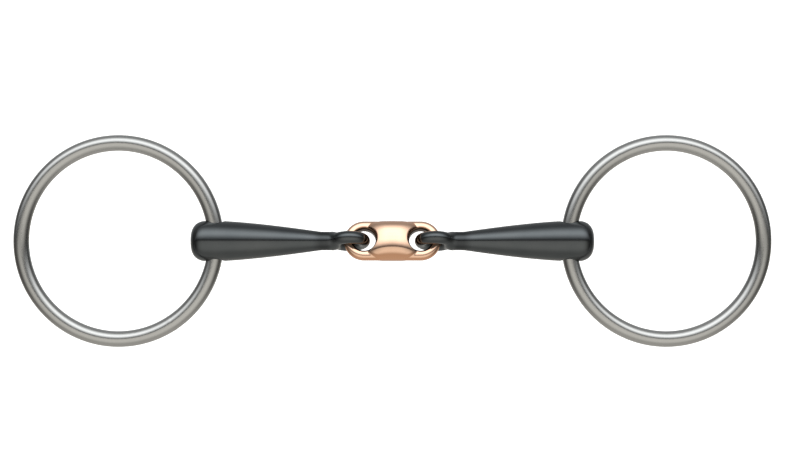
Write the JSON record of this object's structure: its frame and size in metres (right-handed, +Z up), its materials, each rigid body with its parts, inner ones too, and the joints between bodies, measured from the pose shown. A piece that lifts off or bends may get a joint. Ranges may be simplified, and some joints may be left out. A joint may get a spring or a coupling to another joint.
{
  "type": "snaffle bit",
  "caption": "Loose-ring snaffle bit: steel rings running through the drilled ends of tapered sweet iron cannons, joined by a copper lozenge link.",
  "frame": {"origin": "under the middle of the lozenge link, on the surface that the bit lies on", "axes": "+X along the mouthpiece towards the right ring, +Y across it, +Z up from the surface"},
  "size_m": [0.2866, 0.08, 0.0154],
  "materials": {
    "copper": "polished copper",
    "sweet_iron": "blued, fine satin",
    "ring_steel": "satin stainless"
  },
  "bodies": {
    "link": {"lozenge_link": "copper"},
    "left_eye": {"left_eye": "sweet_iron"},
    "left_cannon": {"left_cannon": "sweet_iron"},
    "left_hole_wall": {"left_hole_wall": "sweet_iron"},
    "left_ring": {"left_ring": "ring_steel"},
    "right_eye": {"right_eye": "sweet_iron"},
    "right_cannon": {"right_cannon": "sweet_iron"},
    "right_hole_wall": {"right_hole_wall": "sweet_iron"},
    "right_ring": {"right_ring": "ring_steel"}
  },
  "joints": [
    {"name": "left_fold", "type": "hinge", "parent": "link", "child": "left_eye", "pos_m": [-0.0106, 0, 0.0077], "axis": [0, 0.342, 0.9397], "range_deg": [-75, 75]},
    {"name": "left_tilt", "type": "hinge", "parent": "left_eye", "child": "left_cannon", "pos_m": [-0.0161, 0, 0.0077], "axis": [0, 0.9613, -0.2756], "range_deg": [-90, 90]},
    {"name": "left_swing", "type": "hinge", "parent": "left_cannon", "child": "left_hole_wall", "pos_m": [-0.0669, 0, 0.0077], "axis": [0, -1, 0], "range_deg": [-150, 150]},
    {"name": "left_spin", "type": "hinge", "parent": "left_hole_wall", "child": "left_ring", "pos_m": [-0.10343, 0, 0.00536], "axis": [-0.0639, 0, 0.998], "continuous": true},
    {"name": "right_fold", "type": "hinge", "parent": "link", "child": "right_eye", "pos_m": [0.0106, 0, 0.0077], "axis": [0, 0.342, 0.9397], "range_deg": [-75, 75]},
    {"name": "right_tilt", "type": "hinge", "parent": "right_eye", "child": "right_cannon", "pos_m": [0.0161, 0, 0.0077], "axis": [0, -0.9613, 0.2756], "range_deg": [-90, 90]},
    {"name": "right_swing", "type": "hinge", "parent": "right_cannon", "child": "right_hole_wall", "pos_m": [0.0669, 0, 0.0077], "axis": [0, 1, 0], "range_deg": [-150, 150]},
    {"name": "right_spin", "type": "hinge", "parent": "right_hole_wall", "child": "right_ring", "pos_m": [0.10343, 0, 0.00536], "axis": [0.0639, 0, 0.998], "continuous": true}
  ]
}
